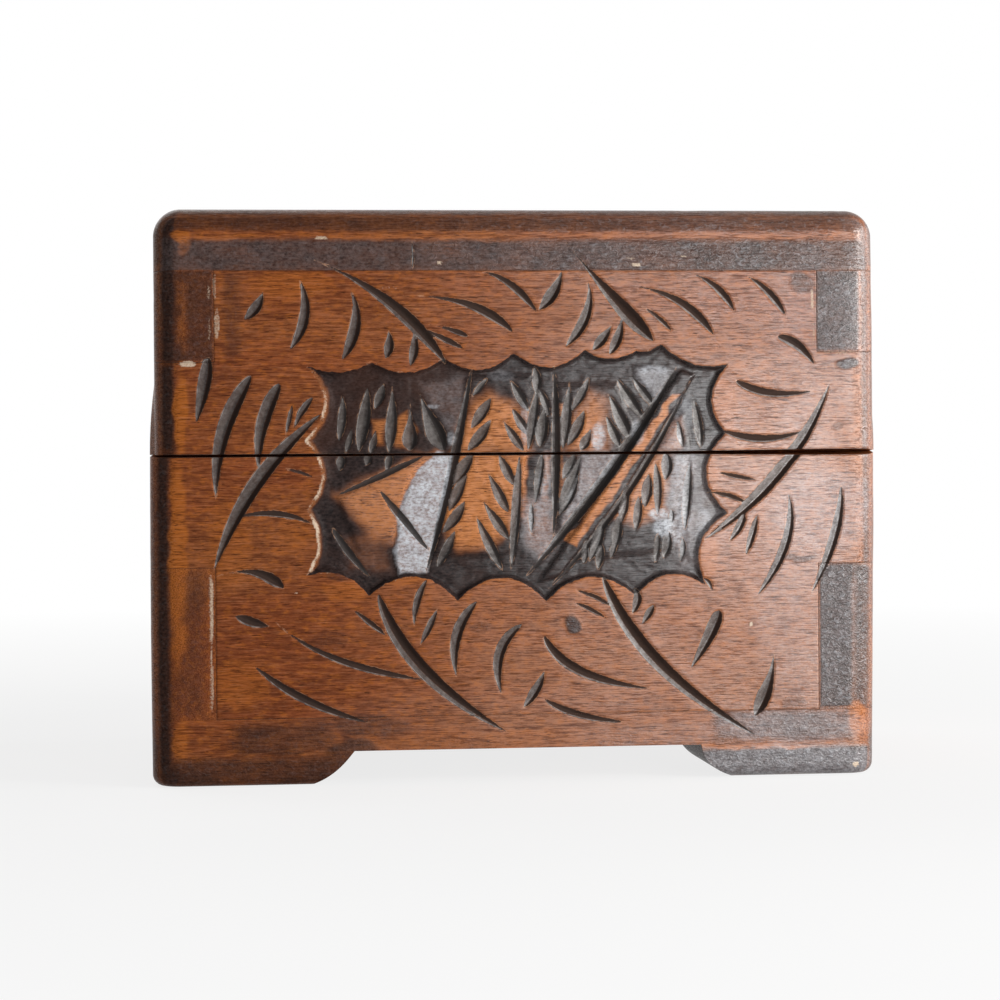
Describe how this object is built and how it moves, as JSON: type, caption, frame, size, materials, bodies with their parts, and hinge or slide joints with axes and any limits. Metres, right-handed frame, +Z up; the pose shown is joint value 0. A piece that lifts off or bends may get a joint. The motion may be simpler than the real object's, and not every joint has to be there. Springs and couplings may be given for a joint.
{
  "type": "carved wooden jewelry chest",
  "caption": "Small box of finger-jointed wooden boards on block feet, with a lid hinged at the back and a scalloped carving across its front.",
  "frame": {"origin": "middle of the chest on the surface that its feet stand on", "axes": "+Z up, +X to the right as seen from the carved front, +Y towards the hinged back"},
  "size_m": [0.161, 0.104, 0.1244],
  "materials": {
    "carved_wood": "varnished reddish-brown wood with dark-stained gouge cuts",
    "plain_wood": "varnished dark-stained wood, worn at the edges",
    "brass": "aged brass",
    "felt": "short-pile felt"
  },
  "bodies": {
    "base": {"bottom_board": "plain_wood", "base_front": "carved_wood", "base_back": "carved_wood", "base_left": "carved_wood", "base_right": "carved_wood", "foot_front_left": "plain_wood", "foot_front_right": "plain_wood", "foot_back_left": "plain_wood", "foot_back_right": "plain_wood", "base_hinge_leaf_left": "brass", "base_hinge_leaf_right": "brass", "hinge_pin_left": "brass", "hinge_pin_right": "brass", "base_hinge_screws": "brass", "floor_felt": "felt"},
    "lid": {"lid_top": "carved_wood", "lid_front": "carved_wood", "lid_back": "carved_wood", "lid_left": "carved_wood", "lid_right": "carved_wood", "lid_hinge_leaf_left": "brass", "lid_hinge_leaf_right": "brass", "lid_hinge_screws": "brass"}
  },
  "joints": [
    {"name": "lid_hinge", "type": "hinge", "parent": "base", "child": "lid", "pos_m": [0, 0.049, 0.0711], "axis": [-1, 0, 0], "range_deg": [0, 100]}
  ]
}
